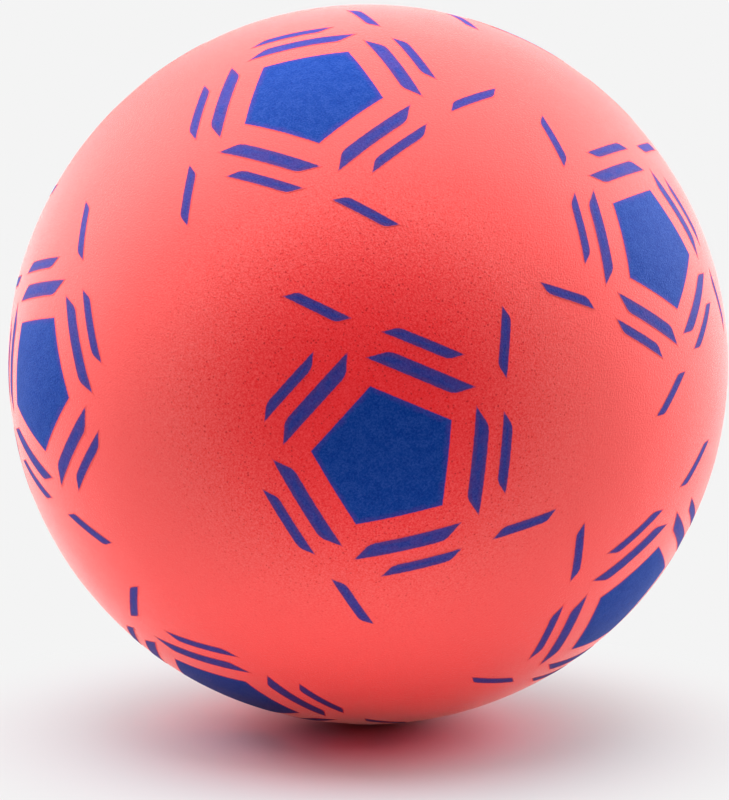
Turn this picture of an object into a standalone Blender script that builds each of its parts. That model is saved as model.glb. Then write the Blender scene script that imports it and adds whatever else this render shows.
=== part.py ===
"""Foam play ball: a body moulded in one shot, and the ink pattern printed on it.

Metres, +Z up. The origin is the middle of the flattened patch that the ball rests on, and
the front print faces -Y.
"""

from math import cos, pi, radians, tan

import bmesh
import bpy
from mathutils import Matrix, Vector

# Foam body
BALL_DIAMETER = 0.205
REST_PATCH_DEPTH = 0.0005
BODY_SEGMENTS = 56
BODY_RINGS = 28

# Ink films. They lie on the foam, with a clearance that keeps the solids apart.
INK_CLEARANCE = 0.0003
INK_THICKNESS = 0.0003
PENTAGON_STEPS = 3
DASH_STEPS = 4

# Edges sharper than this stay crisp, in degrees
SHARP_ANGLE = 30

# One print, drawn flat on the plane that touches the ball at the print's middle
SIDES = 5
PENTAGON_APOTHEM = 0.0165
INNER_DASH_GAP = 0.0068
INNER_DASH_WIDTH = 0.0043
INNER_DASH_LENGTH = 0.026
INNER_DASH_SHIFT = 0.0006
OUTER_DASH_GAP = 0.0042
OUTER_DASH_WIDTH = 0.0032
OUTER_DASH_LENGTH = 0.0201
OUTER_DASH_SHIFT = 0.0032
RING_DASH_END_ANGLE = 39

# The single dash beyond a corner: how far out from it, how far aside, and how far it is
# turned from the line that runs out through the corner
SEAM_DASH_OUT = 0.0264
SEAM_DASH_ASIDE = 0.0104
SEAM_DASH_TURN = 49
SEAM_DASH_LENGTH = 0.0188
SEAM_DASH_WIDTH = 0.0032
SEAM_DASH_END_ANGLE = 43

# The way in which the dashes lean round their pentagon
CLOCKWISE = 1
ANTICLOCKWISE = -1

# The right print came out smaller than the others
RIGHT_PRINT_SIZE = 0.915
FULL_SIZE = 1

# Each print and the one opposite it: names, longitude east of the front, latitude, the
# bearing of a corner clockwise from north, all in degrees, the lean and the size
PRINTS = (
    ("front", "back", 2.7, -4.6, 59.5, CLOCKWISE, FULL_SIZE),
    ("upper", "lower_back", -15.6, 55.5, 88.9, CLOCKWISE, FULL_SIZE),
    ("left", "back_right", -63.8, 2.0, 96.3, CLOCKWISE, FULL_SIZE),
    ("right", "back_left", 57.4, 24.0, 32.4, ANTICLOCKWISE, RIGHT_PRINT_SIZE),
    ("lower_left", "top_right", -46.5, -58.8, 125.6, ANTICLOCKWISE, FULL_SIZE),
    ("lower_right", "top_left", 60.8, -36.3, -75.0, ANTICLOCKWISE, FULL_SIZE),
)

# The prints that have their rings of dashes here, and the corners with a seam dash
RINGED_PRINTS = ("front", "upper", "left", "right")
SEAM_CORNERS = {"front": (0, 2, 4), "upper": (0, 2, 3, 4)}

BALL_RADIUS = BALL_DIAMETER / 2
CENTRE_HEIGHT = BALL_RADIUS - REST_PATCH_DEPTH
SIDE_ANGLE = 2 * pi / SIDES
PENTAGON_CIRCUMRADIUS = PENTAGON_APOTHEM / cos(SIDE_ANGLE / 2)
INNER_DASH_DISTANCE = PENTAGON_APOTHEM + INNER_DASH_GAP + INNER_DASH_WIDTH / 2
OUTER_DASH_DISTANCE = (
    INNER_DASH_DISTANCE + INNER_DASH_WIDTH / 2 + OUTER_DASH_GAP + OUTER_DASH_WIDTH / 2
)

# Each dash's length, width, end angle, and place beside the lower side or beyond the lower
# right corner of a pentagon that has a corner at the top
DASHES = {
    "inner_dash": (
        INNER_DASH_LENGTH,
        INNER_DASH_WIDTH,
        RING_DASH_END_ANGLE,
        Matrix.Translation((INNER_DASH_SHIFT, -INNER_DASH_DISTANCE, 0)),
    ),
    "outer_dash": (
        OUTER_DASH_LENGTH,
        OUTER_DASH_WIDTH,
        RING_DASH_END_ANGLE,
        Matrix.Translation((OUTER_DASH_SHIFT, -OUTER_DASH_DISTANCE, 0)),
    ),
    "seam_dash": (
        SEAM_DASH_LENGTH,
        SEAM_DASH_WIDTH,
        SEAM_DASH_END_ANGLE,
        Matrix.Rotation(SIDE_ANGLE / 2 - pi / 2, 4, "Z")
        @ Matrix.Translation((PENTAGON_CIRCUMRADIUS + SEAM_DASH_OUT, SEAM_DASH_ASIDE, 0))
        @ Matrix.Rotation(radians(SEAM_DASH_TURN), 4, "Z"),
    ),
}


def make_material(name, color, roughness):
    """A plain non-metallic finish."""
    material = bpy.data.materials.new(name)
    material.use_nodes = True
    shader = material.node_tree.nodes["Principled BSDF"]
    shader.inputs["Base Color"].default_value = (*color, 1)
    shader.inputs["Roughness"].default_value = roughness
    shader.inputs["Metallic"].default_value = 0
    return material


def finished_mesh(name, shape, material):
    """The shape as a smooth shaded mesh of one material."""
    mesh = bpy.data.meshes.new(name)
    shape.to_mesh(mesh)
    shape.free()
    mesh.materials.append(material)
    mesh.shade_smooth()
    mesh.set_sharp_from_angle(angle=radians(SHARP_ANGLE))
    return mesh


def add_object(name, mesh, parent, collection):
    """A named piece in its place under its parent."""
    piece = bpy.data.objects.new(name, mesh)
    piece.parent = parent
    collection.objects.link(piece)
    return piece


def foam_body_mesh(material):
    """The moulded ball, flattened where its weight presses it on the ground."""
    shape = bmesh.new()
    bmesh.ops.create_uvsphere(
        shape, u_segments=BODY_SEGMENTS, v_segments=BODY_RINGS, radius=BALL_RADIUS
    )
    cut = bmesh.ops.bisect_plane(
        shape,
        geom=shape.verts[:] + shape.edges[:] + shape.faces[:],
        plane_co=(0, 0, -CENTRE_HEIGHT),
        plane_no=(0, 0, -1),
        clear_outer=True,
    )
    rim = [part for part in cut["geom_cut"] if isinstance(part, bmesh.types.BMEdge)]
    bmesh.ops.edgeloop_fill(shape, edges=rim)
    bmesh.ops.recalc_face_normals(shape, faces=shape.faces[:])
    return finished_mesh("foam_body", shape, material)


def pentagon_mesh(size, material):
    """The flat pentagon, with a corner at +Y, cut fine enough to bend over the ball."""
    shape = bmesh.new()
    bmesh.ops.create_circle(
        shape, cap_ends=True, segments=SIDES, radius=size * PENTAGON_CIRCUMRADIUS
    )
    bmesh.ops.poke(shape, faces=shape.faces[:])
    bmesh.ops.subdivide_edges(
        shape, edges=shape.edges[:], cuts=PENTAGON_STEPS - 1, use_grid_fill=True
    )
    bmesh.ops.translate(shape, vec=(0, 0, BALL_RADIUS), verts=shape.verts[:])
    return finished_mesh("pentagon", shape, material)


def dash_mesh(kind, lean, size, material):
    """A flat dash with slanted ends, in its place beside the pentagon of a print."""
    length, width, end_angle, place = DASHES[kind]
    half_length, half_width = length / 2, width / 2
    half_slant = half_width / tan(radians(end_angle))
    shape = bmesh.new()
    bmesh.ops.create_grid(shape, x_segments=DASH_STEPS, y_segments=1, size=1)
    for corner in shape.verts:
        along, across = corner.co.x, corner.co.y
        corner.co = (along * half_length + across * half_slant, across * half_width, 0)
    bmesh.ops.transform(shape, matrix=place, verts=shape.verts[:])
    bmesh.ops.scale(shape, vec=(lean * size, size, 1), verts=shape.verts[:])
    if lean == ANTICLOCKWISE:
        bmesh.ops.reverse_faces(shape, faces=shape.faces[:])
    bmesh.ops.translate(shape, vec=(0, 0, BALL_RADIUS), verts=shape.verts[:])
    return finished_mesh(kind, shape, material)


def lay_on_ball(film):
    """Draws a flat shape in onto the ball, and gives it the thickness of the ink."""
    cast = film.modifiers.new("Lie on the ball", "CAST")
    cast.cast_type = "SPHERE"
    cast.factor = 1
    cast.use_radius_as_size = False
    cast.size = BALL_RADIUS + INK_CLEARANCE
    ink = film.modifiers.new("Ink thickness", "SOLIDIFY")
    ink.thickness = INK_THICKNESS
    ink.offset = 1


def print_axes(longitude, latitude, bearing):
    """Turns +Z to the print's middle and +Y to one of its corners."""
    around = Matrix.Rotation(radians(longitude), 4, "Z")
    up = Matrix.Rotation(radians(90 - latitude), 4, "X")
    twist = Matrix.Rotation(-radians(bearing), 4, "Z")
    return around @ up @ twist


def add_dashes(print_name, kind, corners, lean, size, ink, middle, collection):
    """Copies of a dash, one for each side or corner in the list."""
    mesh = dash_mesh(kind, lean, size, ink)
    for number, corner in enumerate(corners, start=1):
        dash = add_object(f"{print_name}_{kind}_{number}", mesh, middle, collection)
        dash.rotation_euler.z = -lean * corner * SIDE_ANGLE
        lay_on_ball(dash)


def add_print(name, axes, lean, size, inks, centre, collection):
    """A pentagon, and the dashes that this print has."""
    middle = bpy.data.objects.new(f"{name}_print", None)
    middle.empty_display_size = BALL_RADIUS
    middle.parent = centre
    middle.matrix_local = axes
    collection.objects.link(middle)
    mesh = pentagon_mesh(size, inks["pentagon"])
    lay_on_ball(add_object(f"{name}_pentagon", mesh, middle, collection))
    if name in RINGED_PRINTS:
        for kind in ("inner_dash", "outer_dash"):
            add_dashes(
                name, kind, range(SIDES), lean, size, inks["dash"], middle, collection
            )
    if name in SEAM_CORNERS:
        corners = SEAM_CORNERS[name]
        add_dashes(
            name, "seam_dash", corners, lean, size, inks["dash"], middle, collection
        )


def main():
    for leftover in list(bpy.data.objects):
        bpy.data.objects.remove(leftover)
    collection = bpy.data.collections.new("Foam ball")
    bpy.context.scene.collection.children.link(collection)
    foam = make_material("Coral polyurethane foam", (0.9, 0.09, 0.08), 0.9)
    inks = {
        "pentagon": make_material("Cobalt pad ink", (0.02, 0.06, 0.33), 0.65),
        "dash": make_material("Violet blue pad ink", (0.07, 0.05, 0.28), 0.65),
    }

    centre = bpy.data.objects.new("ball_centre", None)
    centre.location = Vector((0, 0, CENTRE_HEIGHT))
    collection.objects.link(centre)
    add_object("foam_body", foam_body_mesh(foam), centre, collection)

    for near, far, longitude, latitude, bearing, lean, size in PRINTS:
        axes = print_axes(longitude, latitude, bearing)
        add_print(near, axes, lean, size, inks, centre, collection)
        opposite = print_axes(longitude + 180, -latitude, 180 - bearing)
        add_print(far, opposite, -lean, FULL_SIZE, inks, centre, collection)


main()
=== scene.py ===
# Foam play ball: the moulded foam and the ink films printed on it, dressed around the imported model
from math import cos, pi, radians, tan

import bpy
from mathutils import Matrix, Vector


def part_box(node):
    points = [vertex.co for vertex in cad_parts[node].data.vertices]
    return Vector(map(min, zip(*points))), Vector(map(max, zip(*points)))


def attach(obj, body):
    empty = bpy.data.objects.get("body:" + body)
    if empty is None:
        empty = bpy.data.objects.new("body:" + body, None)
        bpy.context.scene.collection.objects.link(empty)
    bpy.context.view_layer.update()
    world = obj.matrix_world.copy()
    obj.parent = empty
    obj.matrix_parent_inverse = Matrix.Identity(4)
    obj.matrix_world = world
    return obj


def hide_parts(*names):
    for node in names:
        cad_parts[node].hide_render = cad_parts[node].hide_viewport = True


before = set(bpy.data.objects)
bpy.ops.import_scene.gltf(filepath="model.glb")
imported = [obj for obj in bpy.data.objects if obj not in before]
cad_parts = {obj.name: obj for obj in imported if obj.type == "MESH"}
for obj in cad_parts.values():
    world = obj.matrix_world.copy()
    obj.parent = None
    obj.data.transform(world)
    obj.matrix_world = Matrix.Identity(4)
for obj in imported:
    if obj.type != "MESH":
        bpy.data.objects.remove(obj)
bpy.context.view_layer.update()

# Sizes are in metres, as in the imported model, and angles in degrees
bodyLow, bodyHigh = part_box("foam_body")
ballRadius = (bodyHigh.x - bodyLow.x) / 2
ballCentre = Vector((0, 0, bodyHigh.z - ballRadius))
millimetre = 0.001

camera = {
    "distance": 13 * ballRadius,  # from the ball's middle
    "height": 10,  # angle above the horizon, in degrees
    "focalLength": 4666,  # in pixels of the photograph
    "imageWide": 729,
    "imageHigh": 800,
    "ballX": 368.1,  # where the ball's middle lies in the image
    "ballY": 364.6,
}

sensorSize = 36  # of Blender's camera, in its own millimetres


def colour(hexValue):  # sRGB hex to the linear values that shaders take
    parts = [int(hexValue[i : i + 2], 16) / 255 for i in (1, 3, 5)]
    linear = [p / 12.92 if p <= 0.04045 else ((p + 0.055) / 1.055) ** 2.4 for p in parts]
    return (*linear, 1)


def addNode(tree, kind, inputs, output=0, **settings):  # links what feeds it, gives one of its outputs
    node = tree.nodes.new("ShaderNode" + kind)
    for name, value in settings.items():
        setattr(node, name, value)
    for name, value in inputs.items():
        if isinstance(value, bpy.types.NodeSocket):
            tree.links.new(value, node.inputs[name])
        else:
            node.inputs[name].default_value = value
    return node.outputs[output]


def selectOnly(*objects):
    bpy.ops.object.select_all(action="DESELECT")
    for item in objects:
        item.select_set(True)
    bpy.context.view_layer.objects.active = objects[0]


def applyModifiers(item):
    selectOnly(item)
    for modifier in list(item.modifiers):
        bpy.ops.object.modifier_apply(modifier=modifier.name)


# Camera

def addCamera():
    data = bpy.data.cameras.new("Camera")
    data.sensor_width = sensorSize
    data.lens = sensorSize * camera["focalLength"] / camera["imageHigh"]
    item = bpy.data.objects.new("Camera", data)
    bpy.context.scene.collection.objects.link(item)
    item.rotation_euler = (radians(90 - camera["height"]), 0, 0)
    aside = (camera["ballX"] - camera["imageWide"] / 2) / camera["focalLength"]
    above = (camera["imageHigh"] / 2 - camera["ballY"]) / camera["focalLength"]
    toBall = Vector((aside, above, -1)).normalized() * camera["distance"]
    item.location = ballCentre - item.rotation_euler.to_matrix() @ toBall
    bpy.context.scene.camera = item


addCamera()
print("camera in place")


# The uneven surface that moulding leaves: soft swells, and shallow dents where foam has been squeezed
surface = {
    "swellWidth": 0.034,
    "swellHeight": 0.0003,
    "dentWidth": 0.011,
    "dentHeight": 0.00008,
    "detail": 1,  # levels of finer noise in either
}


def surfaceTexture(name, width):
    texture = bpy.data.textures.new(name, "CLOUDS")
    texture.noise_scale = width
    texture.noise_depth = surface["detail"]
    return texture


swells = surfaceTexture("swells", surface["swellWidth"])
dents = surfaceTexture("dents", surface["dentWidth"])


def addUnevenness(item):
    for texture, height in ((swells, surface["swellHeight"]), (dents, surface["dentHeight"])):
        displace = item.modifiers.new(texture.name, "DISPLACE")
        displace.texture = texture
        displace.texture_coords = "LOCAL"
        displace.strength = height


def addRounding(item, radius):  # moves every point straight out or in to a sphere round the item's origin
    cast = item.modifiers.new("round", "CAST")
    cast.cast_type = "SPHERE"
    cast.factor = 1
    cast.use_radius_as_size = False
    cast.size = radius


# Foam body
foam = {
    "rows": 7,  # how many times the cube's faces are halved, before it is blown up to a ball
    "fill": 1.0,
}


def addFoamBall():
    bpy.ops.object.select_all(action="DESELECT")
    bpy.ops.mesh.primitive_cube_add(size=2 * ballRadius)
    ball = bpy.context.object
    ball.name = ball.data.name = "foam_ball"
    halve = ball.modifiers.new("halve", "SUBSURF")
    halve.subdivision_type = "SIMPLE"
    halve.levels = halve.render_levels = foam["rows"]
    addRounding(ball, ballRadius)
    applyModifiers(ball)
    ball.data.transform(Matrix.Translation(ballCentre))
    addUnevenness(ball)
    applyModifiers(ball)
    pressFlat(ball)
    bpy.ops.object.shade_smooth()
    return ball


def pressFlat(piece):  # the patch that the ball rests on
    selectOnly(piece)
    bpy.ops.object.mode_set(mode="EDIT")
    bpy.ops.mesh.select_all(action="DESELECT")
    bpy.ops.object.mode_set(mode="OBJECT")
    for point in piece.data.vertices:
        point.select = point.co.z < bodyLow.z
    bpy.ops.object.mode_set(mode="EDIT")
    bpy.ops.transform.resize(value=(1, 1, 0), center_override=(0, 0, bodyLow.z))
    bpy.ops.object.mode_set(mode="OBJECT")


# Ink films, drawn flat on the plane that touches the ball at a print's middle, and then laid on the ball
ink = {
    "clearance": 0.00003,  # between the foam and the film
    "thickness": 0.00005,
    "margin": 0.0002,  # of bare foam that each film's mesh carries round its ink
    "step": 0.0009,  # between the mesh's points
    "sharpAngle": 40,  # edges that turn by more than this are shaded as edges
}

pentagon = {"sides": 5, "apothem": 0.0165}
pentagonSide = 2 * pi / pentagon["sides"]
pentagonCorner = pentagon["apothem"] / cos(pentagonSide / 2)  # its distance from the middle

innerDash = {
    "length": 0.026,
    "width": 0.0043,
    "endAngle": 39,
    "aside": 0.0006,
    "gap": 0.0068,  # to the pentagon
}

outerDash = {
    "length": 0.0201,
    "width": 0.0032,
    "endAngle": 39,
    "aside": 0.0032,
    "gap": 0.0042,  # to the inner dash
}

seamDash = {
    "length": 0.0188,
    "width": 0.0032,
    "endAngle": 43,
    "out": 0.0264,  # beyond the pentagon's corner
    "aside": 0.0104,
    "turn": 49,
}

innerDistance = pentagon["apothem"] + innerDash["gap"] + innerDash["width"] / 2
outerDistance = innerDistance + innerDash["width"] / 2 + outerDash["gap"] + outerDash["width"] / 2

dashes = {  # each dash and its place beside the lower side, or beyond the lower right corner
    "inner_dash": (innerDash, Matrix.Translation((innerDash["aside"], -innerDistance, 0))),
    "outer_dash": (outerDash, Matrix.Translation((outerDash["aside"], -outerDistance, 0))),
    "seam_dash": (
        seamDash,
        Matrix.Rotation(pentagonSide / 2 - pi / 2, 4, "Z")
        @ Matrix.Translation((pentagonCorner + seamDash["out"], seamDash["aside"], 0))
        @ Matrix.Rotation(radians(seamDash["turn"]), 4, "Z"),
    ),
}


def markInk(film, corners):  # how far each point lies inside the ink's edge, in millimetres
    depth = film.data.attributes.new("inkDepth", "FLOAT", "POINT")
    for point, value in zip(film.data.vertices, depth.data):
        place = point.co.xy
        value.value = min(
            (end - start).normalized().cross(place - start) / millimetre
            for start, end in zip(corners, corners[1:] + corners[:1])
        )


def addPentagonFilm():
    bpy.ops.object.select_all(action="DESELECT")
    drawn = (pentagon["apothem"] + ink["margin"]) / cos(pentagonSide / 2)
    bpy.ops.mesh.primitive_circle_add(
        vertices=pentagon["sides"], radius=drawn, fill_type="TRIFAN"
    )
    film = bpy.context.object
    bpy.ops.object.mode_set(mode="EDIT")
    bpy.ops.mesh.subdivide(number_cuts=round(drawn / ink["step"]) - 1)
    bpy.ops.object.mode_set(mode="OBJECT")
    corners = [
        Matrix.Rotation(pentagonSide * i, 2) @ Vector((0, pentagonCorner))
        for i in range(pentagon["sides"])
    ]
    markInk(film, corners)
    return film


def addDashFilm(kind):
    size, place = dashes[kind]
    slope = 1 / tan(radians(size["endAngle"]))
    wide = size["width"] + 2 * ink["margin"]
    long = size["length"] + 2 * ink["margin"] / cos(radians(90 - size["endAngle"]))
    bpy.ops.object.select_all(action="DESELECT")
    bpy.ops.mesh.primitive_grid_add(
        size=1, x_subdivisions=round(long / ink["step"]), y_subdivisions=round(wide / ink["step"])
    )
    film = bpy.context.object
    bpy.ops.object.mode_set(mode="EDIT")
    bpy.ops.transform.resize(value=(long, wide, 1))
    bpy.ops.object.mode_set(mode="OBJECT")
    for point in film.data.vertices:
        point.co.x += point.co.y * slope
    halfLong, halfWide = size["length"] / 2, size["width"] / 2
    corners = [
        Vector((x + y * slope, y))
        for x, y in (
            (-halfLong, -halfWide),
            (halfLong, -halfWide),
            (halfLong, halfWide),
            (-halfLong, halfWide),
        )
    ]
    markInk(film, corners)
    film.data.transform(place)
    return film


def printAxes(longitude, latitude, bearing):  # turns +Z to the print's middle and +Y to a corner
    around = Matrix.Rotation(radians(longitude), 4, "Z")
    up = Matrix.Rotation(radians(90 - latitude), 4, "X")
    return around @ up @ Matrix.Rotation(-radians(bearing), 4, "Z")


def placeFilm(template, name, axes, corner, lean, size):
    film = template.copy()
    film.data = template.data.copy()
    film.name = film.data.name = name
    bpy.context.scene.collection.objects.link(film)
    film.data.transform(Matrix.Diagonal((lean * size, size, 1, 1)))
    film.data.transform(Matrix.Rotation(-lean * corner * pentagonSide, 4, "Z"))
    if lean < 0:
        film.data.flip_normals()
    film.data.transform(Matrix.Translation((0, 0, ballRadius)))
    film.data.transform(axes)
    return film


def layOnBall(film):
    addRounding(film, ballRadius + ink["clearance"])
    applyModifiers(film)
    film.data.transform(Matrix.Translation(ballCentre))
    addUnevenness(film)
    body = film.modifiers.new("ink", "SOLIDIFY")
    body.thickness = ink["thickness"]
    body.offset = 1
    applyModifiers(film)
    bpy.ops.object.shade_smooth()
    bpy.ops.object.shade_smooth_by_angle(angle=radians(ink["sharpAngle"]))


# Each print: longitude east of the front, latitude, bearing of a corner, lean (1 is clockwise), size,
# and the corners that have a single dash beyond them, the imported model's first
prints = {
    "front": (2.7, -4.6, 59.5, 1, 1, (0, 2, 4, 3)),
    "upper": (-15.6, 55.5, 88.9, 1, 1, (0, 2, 3, 4)),
    "left": (-63.8, 2.0, 96.3, 1, 1, (0, 1, 2, 4)),
    "right": (57.4, 24.0, 32.4, -1, 0.915, (0, 1, 2, 3, 4)),
    "lower_left": (-46.5, -58.8, 125.6, -1, 1, (0, 1, 2, 3)),
    "lower_right": (60.8, -36.3, -75.0, -1, 1, (0, 1, 2, 3, 4)),
}
opposites = {
    "front": "back",
    "upper": "lower_back",
    "left": "back_right",
    "right": "back_left",
    "lower_left": "top_right",
    "lower_right": "top_left",
}
for near, far in opposites.items():  # the far half of the ball repeats the near half
    longitude, latitude, bearing, lean, size, corners = prints[near]
    everyCorner = tuple(range(pentagon["sides"]))
    prints[far] = (longitude + 180, -latitude, 180 - bearing, -lean, 1, everyCorner)


# Materials

def newMaterial(name):
    material = bpy.data.materials.new(name)
    material.use_nodes = True
    return material, material.node_tree, material.node_tree.nodes["Principled BSDF"]


def cellScale(width):  # texture scale for cells of a width in millimetres
    return 1 / (width * millimetre)


foamFinish = {
    "skinColour": "#E85351",  # over most of the ball
    "frontShadeColour": "#EA2A30",  # painted shade: a deeper, redder tone round the front, where the light is dimmest, copied on the back
    "poreShadeColour": "#C2161E",  # painted shade inside an open cell
    "frontShadeMiddle": (0, 4),  # longitude and latitude of the painted shade's middle on the front
    "frontShadeReach": 32,  # from there, in degrees
    "grainShadeReach": 44,  # how far beyond it the grain and pores go on fading; real grain, shown strongest round the front and back as painted shade
    "grainWidth": 0.5,  # in millimetres
    "grainHeight": 0.16,
    "poreSpacing": 1.2,
    "poreRadius": 0.38,
    "poreDepth": 0.06,
    "poreSizes": (0.3, 1.2),  # the smallest and the largest, as shares of the radius
    "poreFloor": 0.3,  # the share of a pore's radius that is fully deep
    "grainTurn": (0.6, 0.5, 0.4),  # in radians, off the ball's axes, so that the noise shows no rows
    "grainDetail": 3,
    "grainDistortion": 0.5,
    "wander": 0.5,  # how far the grain pushes the pores about, in millimetres
    "poresOutsideShade": 0.12,  # how much the pores show far from the painted shade
    "grainShown": (0.1, 0.85),  # how much the grain's colour shows far from the painted shade, and in it
    "grainTint": (0.06, 0.9, 0.85),  # how much the grain changes the red, the green and the blue
    "roughness": 0.6,
    "gloss": 0.12,
    "sheen": 0.58,
}
pastMiddle = 1.02  # keeps the painted shade's middle a little short of its full colour
noiseRange = {1: 0.3, 2: 0.7}  # where nearly all values of a noise lie
sheenRoughness = 0.3


def foamGrain(tree):  # fine closed cells all over, and scattered open cells; both show most round the front and back, partly as painted shade
    place = addNode(tree, "TexCoord", {}, "Object")
    outward = addNode(tree, "VectorMath", {0: place, 1: ballCentre}, operation="SUBTRACT")
    outward = addNode(tree, "VectorMath", {0: outward}, operation="NORMALIZE")
    pole = printAxes(*foamFinish["frontShadeMiddle"], 0) @ Vector((0, 0, 1))
    nearPole = addNode(tree, "VectorMath", {0: outward, 1: pole}, "Value", operation="DOT_PRODUCT")
    nearPole = addNode(tree, "Math", {0: nearPole}, operation="ABSOLUTE")
    # painted shade round the front and back, and a wider ring where the grain and pores show more
    frontShadeMask, grainShadeMask = (
        addNode(
            tree,
            "MapRange",
            {0: nearPole, 1: cos(radians(foamFinish[reach])), 2: pastMiddle},
            interpolation_type="SMOOTHSTEP",
        )
        for reach in ("frontShadeReach", "grainShadeReach")
    )
    turned = addNode(
        tree,
        "VectorRotate",
        {0: place, "Rotation": foamFinish["grainTurn"]},
        rotation_type="EULER_XYZ",
    )
    cells = addNode(
        tree,
        "TexNoise",
        {
            "Vector": turned,
            "Scale": cellScale(foamFinish["grainWidth"]),
            "Detail": foamFinish["grainDetail"],
            "Distortion": foamFinish["grainDistortion"],
        },
    )
    wander = addNode(
        tree,
        "VectorMath",
        {0: cells.node.outputs["Color"], 1: (foamFinish["wander"] * millimetre,) * 3, 2: place},
        operation="MULTIPLY_ADD",
    )
    spots = addNode(
        tree, "TexVoronoi", {"Vector": wander, "Scale": cellScale(foamFinish["poreSpacing"])}
    )
    widest = foamFinish["poreRadius"] / foamFinish["poreSpacing"]
    small, large = (share * widest for share in foamFinish["poreSizes"])
    size = addNode(tree, "MapRange", {0: spots.node.outputs["Color"], 3: small, 4: large})
    out = addNode(tree, "Math", {0: spots, 1: size}, operation="DIVIDE")
    pores = addNode(
        tree,
        "MapRange",
        {0: out, 1: foamFinish["poreFloor"], 3: 1, 4: 0},
        interpolation_type="SMOOTHSTEP",
    )
    # the pores show most in the painted shade round the front and back
    shown = addNode(tree, "MapRange", {0: grainShadeMask, 3: foamFinish["poresOutsideShade"]})
    pores = addNode(tree, "Math", {0: pores, 1: shown}, operation="MULTIPLY")
    return place, frontShadeMask, grainShadeMask, cells, pores


def grainBump(tree, cells, pores):  # the height is in millimetres
    raised = addNode(tree, "Math", {0: cells, 1: foamFinish["grainHeight"]}, operation="MULTIPLY")
    height = addNode(
        tree, "Math", {0: pores, 1: -foamFinish["poreDepth"], 2: raised}, operation="MULTIPLY_ADD"
    )
    return addNode(tree, "Bump", {"Height": height, "Distance": millimetre})


def finishMaterial(tree, shader, tint, cells, pores, finish):
    tree.links.new(tint, shader.inputs["Base Color"])
    tree.links.new(grainBump(tree, cells, pores), shader.inputs["Normal"])
    shader.inputs["Roughness"].default_value = finish["roughness"]
    shader.inputs["Specular IOR Level"].default_value = finish["gloss"]
    shader.inputs["Sheen Weight"].default_value = finish["sheen"]
    shader.inputs["Sheen Roughness"].default_value = sheenRoughness


def makeFoam():
    # Polyurethane foam moulded in one shot: matt, a fine grain of cells, pale where it is seen edge on
    material, tree, shader = newMaterial("mouldedPolyurethaneFoam")
    _, frontShadeMask, grainShadeMask, cells, pores = foamGrain(tree)
    skin, frontShade, poreShade = (colour(foamFinish[part]) for part in ("skinColour", "frontShadeColour", "poreShadeColour"))
    # a deeper red painted round the front and back, as shade
    body = addNode(tree, "Mix", {0: frontShadeMask, 6: skin, 7: frontShade}, 2, data_type="RGBA")
    # the grain shows more in the painted shade round the front and back, and more in the green and blue
    # than in the red
    light = addNode(tree, "MapRange", {0: cells, **noiseRange, 3: -1})
    least, most = foamFinish["grainShown"]
    shown = addNode(tree, "MapRange", {0: grainShadeMask, 3: least, 4: most})
    light = addNode(tree, "Math", {0: light, 1: shown}, operation="MULTIPLY")
    light = addNode(
        tree,
        "VectorMath",
        {0: light, 1: foamFinish["grainTint"], 2: (1, 1, 1)},
        operation="MULTIPLY_ADD",
    )
    body = addNode(tree, "VectorMath", {0: body, 1: light}, operation="MULTIPLY")
    # painted shade in the open cells
    pitted = addNode(tree, "Mix", {0: pores, 6: body, 7: poreShade}, 2, data_type="RGBA")
    finishMaterial(tree, shader, pitted, cells, pores, foamFinish)
    return material


inkFinish = {
    # the film's own colour, its blotches, its edge, and how far the edge's colour reaches in
    "pentagonInk": {"middle": "#043587", "blotch": "#133B8C", "edge": "#343588", "edgeReach": 2.4},
    "dashInk": {"middle": "#253686", "blotch": "#3C3683", "edge": "#4E3376", "edgeReach": 1.9},
    "blotchWidth": 3,  # in millimetres
    "blotchRange": {1: 0.38, 2: 0.62},  # of the noise, from none to a full blotch
    "blotchPush": 0.8,  # how much narrower a full blotch makes the edge's colour, in millimetres
    "edgeStart": 0.3,  # how far in the edge's colour starts to give way to the film's own
    "grainTint": (0.009, 0.015, 0.035),  # what the foam's grain adds to the red, green and blue
    "raggedWidth": 0.8,
    "raggedPush": 0.3,  # how far the ink's edge wanders, in millimetres
    "coverDepth": 0.3,  # from the edge to where the ink covers the foam
    "roughness": 0.6,
    "gloss": 0.05,
    "sheen": 0.04,
}


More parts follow.
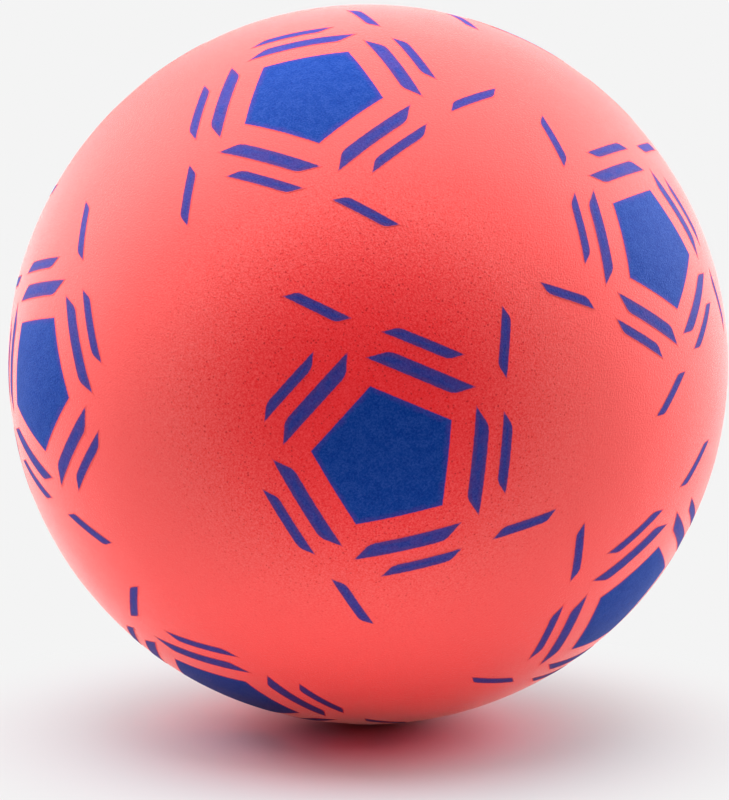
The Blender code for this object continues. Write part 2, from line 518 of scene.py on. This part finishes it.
def makeInk(name):
    # Pad ink on foam: thin and matt, with the foam's cells in it, and thinner still along its edges
    material, tree, shader = newMaterial(name)
    place, frontShadeMask, _, cells, pores = foamGrain(tree)
    depth = addNode(tree, "Attribute", {}, "Fac", attribute_name="inkDepth")
    finish = inkFinish[name]
    middle, blotch, edge = (colour(finish[part]) for part in ("middle", "blotch", "edge"))
    patches = addNode(
        tree, "TexNoise", {"Vector": place, "Scale": cellScale(inkFinish["blotchWidth"])}
    )
    patches = addNode(tree, "MapRange", {0: patches, **inkFinish["blotchRange"]})
    tint = addNode(tree, "Mix", {0: patches, 6: middle, 7: blotch}, 2, data_type="RGBA")
    inside = addNode(
        tree, "Math", {0: patches, 1: inkFinish["blotchPush"], 2: depth}, operation="MULTIPLY_ADD"
    )
    inside = addNode(
        tree,
        "MapRange",
        {0: inside, 1: inkFinish["edgeStart"], 2: finish["edgeReach"]},
        interpolation_type="SMOOTHSTEP",
    )
    tint = addNode(tree, "Mix", {0: inside, 6: edge, 7: tint}, 2, data_type="RGBA")
    # pale foam under the thinnest ink, on top of the grains
    light = addNode(tree, "MapRange", {0: cells, **noiseRange, 3: -1})
    tint = addNode(
        tree,
        "VectorMath",
        {0: light, 1: inkFinish["grainTint"], 2: tint},
        operation="MULTIPLY_ADD",
    )
    ragged = addNode(
        tree, "TexNoise", {"Vector": place, "Scale": cellScale(inkFinish["raggedWidth"])}
    )
    depth = addNode(
        tree, "Math", {0: ragged, 1: inkFinish["raggedPush"], 2: depth}, operation="MULTIPLY_ADD"
    )
    covered = addNode(tree, "MapRange", {0: depth, 1: 0, 2: inkFinish["coverDepth"]})
    # bare foam round the ink, with the foam's painted shade round the front and back
    bare = addNode(
        tree,
        "Mix",
        {0: frontShadeMask, 6: colour(foamFinish["skinColour"]), 7: colour(foamFinish["frontShadeColour"])},
        2,
        data_type="RGBA",
    )
    tint = addNode(tree, "Mix", {0: covered, 6: bare, 7: tint}, 2, data_type="RGBA")
    finishMaterial(tree, shader, tint, cells, pores, inkFinish)
    return material


foamMaterial = makeFoam()
pentagonInk = makeInk("pentagonInk")
dashInk = makeInk("dashInk")
print("materials made")

foamBall = addFoamBall()
foamBall.data.materials.append(foamMaterial)
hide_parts("foam_body")
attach(foamBall, "root")
print("foam ball made:", len(foamBall.data.polygons), "faces")


def finishFilm(film, material, slot, *nodes):
    layOnBall(film)
    if min(point.co.z for point in film.data.vertices) < bodyLow.z:
        pressFlat(film)
    film.data.materials.clear()
    film.data.materials.append(material)
    if nodes:
        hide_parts(*nodes)
    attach(film, "root")


templates = {kind: addDashFilm(kind) for kind in dashes}
pentagonTemplate = addPentagonFilm()
for printName, (longitude, latitude, bearing, lean, size, corners) in prints.items():
    axes = printAxes(longitude, latitude, bearing)
    film = placeFilm(pentagonTemplate, f"{printName}_pentagon_ink", axes, 0, lean, size)
    finishFilm(film, pentagonInk, "pentagon_ink", f"{printName}_pentagon")
    spare = []
    for kind, template in templates.items():
        places = corners if kind == "seam_dash" else range(pentagon["sides"])
        for number, corner in enumerate(places, start=1):
            node = f"{printName}_{kind}_{number}"
            film = placeFilm(template, node + "_ink", axes, corner, lean, size)
            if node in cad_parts:
                finishFilm(film, dashInk, "dash_ink", node)
            else:
                spare.append(film)
    if spare:
        selectOnly(*spare)
        if len(spare) > 1:
            bpy.ops.object.join()
        rest = bpy.context.object
        rest.name = rest.data.name = f"{printName}_more_dashes_ink"
        finishFilm(rest, dashInk, "dash_ink")
for template in (*templates.values(), pentagonTemplate):
    bpy.data.objects.remove(template)
print("ink films laid on:", len(prints), "prints")


# Floor, light and background
studio = {
    "floorSize": 12,
    "floorRoughness": 0.9,
    "floorSeenWithPaintedShadow": ("#E98FA5", "#978A93"),  # as the camera sees it: under the ball, and by it; the reddened first is painted red light from the ball in the lamps' own shadow
    "floorThrownWithPaintedLight": ("#FF827E", "#D5D3D2", "#6F6F6F"),  # as it throws light back up: under, by and far; painted light, red under the ball and dim from far off
    "seenReach": (0, 0.085),  # how far out the first colour seen turns into the second
    "thrownReach": (0.035, 0.095),  # the first colour thrown into the second
    "nearReach": (0.25, 0.4),  # the second colour thrown into the third
    "shadowReach": (0.011, 0.138),  # and what the camera sees into the plain background
    "shadowShift": (0.0025, 0.026, 0),  # all this lies so far left of and in front of the ball's middle
    "background": "#F4F4F4",
    "softboxes": {  # azimuth from the camera's side, height, spread, strength
        "left softbox": (-120, 52, 44, 1),
        "low left softbox": (-120, 18, 44, 1.02),
        "right softbox": (120, 52, 44, 0.34),
        "low right softbox": (120, 18, 44, 1.41),
        "top softbox": (0, 90, 44, 1.46),
    },
}


def seenDirectly(tree):  # 1 for what the camera, a gloss or glass shows, 0 for the light thrown on things
    seen = addNode(tree, "LightPath", {}, "Is Camera Ray")
    for other in ("Is Glossy Ray", "Is Transmission Ray"):
        seen = addNode(
            tree, "Math", {0: seen, 1: addNode(tree, "LightPath", {}, other)}, operation="MAXIMUM"
        )
    return seen


def addFloor():
    bpy.ops.object.select_all(action="DESELECT")
    bpy.ops.mesh.primitive_plane_add(size=studio["floorSize"])
    floor = bpy.context.object
    floor.name = "floor"
    material, tree, shader = newMaterial("floorWithPaintedLightAndShade")
    shader.inputs["Roughness"].default_value = studio["floorRoughness"]
    shader.inputs["Specular IOR Level"].default_value = 0
    place = addNode(tree, "TexCoord", {}, "Object")
    place = addNode(tree, "VectorMath", {0: place, 1: studio["shadowShift"]}, operation="ADD")
    out = addNode(tree, "VectorMath", {0: place}, "Value", operation="LENGTH")
    apart, parted, further, beyond = (
        addNode(
            tree,
            "MapRange",
            {0: out, 1: studio[reach][0], 2: studio[reach][1]},
            interpolation_type="SMOOTHSTEP",
        )
        for reach in ("seenReach", "thrownReach", "nearReach", "shadowReach")
    )
    under, near, far = (colour(part) for part in studio["floorThrownWithPaintedLight"])
    # painted bounce light: red thrown up under the ball, little from far off
    paintedBounce = addNode(tree, "Mix", {0: parted, 6: under, 7: near}, 2, data_type="RGBA")
    paintedBounce = addNode(tree, "Mix", {0: further, 6: paintedBounce, 7: far}, 2, data_type="RGBA")
    under, near = (colour(part) for part in studio["floorSeenWithPaintedShadow"])
    # painted red light and shadow on the floor round the ball, as the camera sees it
    paintedShadowTint = addNode(tree, "Mix", {0: apart, 6: under, 7: near}, 2, data_type="RGBA")
    seen = seenDirectly(tree)
    shown = addNode(tree, "Mix", {0: seen, 6: paintedBounce, 7: paintedShadowTint}, 2, data_type="RGBA")
    tree.links.new(shown, shader.inputs["Base Color"])
    plain = addNode(tree, "Math", {0: beyond, 1: seen}, operation="MULTIPLY")
    glow = addNode(tree, "Emission", {"Color": colour(studio["background"])})
    both = addNode(tree, "MixShader", {0: plain, 1: shader.outputs["BSDF"], 2: glow})
    tree.links.new(both, tree.nodes["Material Output"].inputs["Surface"])
    floor.data.materials.append(material)


def addSun(name, azimuth, height, spread, strength):
    data = bpy.data.lights.new(name, "SUN")
    data.energy = strength * pi  # so that at 1 a white face turned to the light shows as white
    data.angle = radians(spread)
    item = bpy.data.objects.new(name, data)
    bpy.context.scene.collection.objects.link(item)
    item.rotation_euler = (radians(90 - height), 0, radians(azimuth))


def addSky():
    world = bpy.data.worlds.new("studio")
    bpy.context.scene.world = world
    world.use_nodes = True
    tree = world.node_tree
    shade = tree.nodes["Background"]
    shade.inputs["Color"].default_value = colour(studio["background"])
    tree.links.new(seenDirectly(tree), shade.inputs["Strength"])


addFloor()
addSky()
for name, settings in studio["softboxes"].items():
    addSun(name, *settings)
bpy.context.scene.view_settings.view_transform = "Standard"
print("studio set")
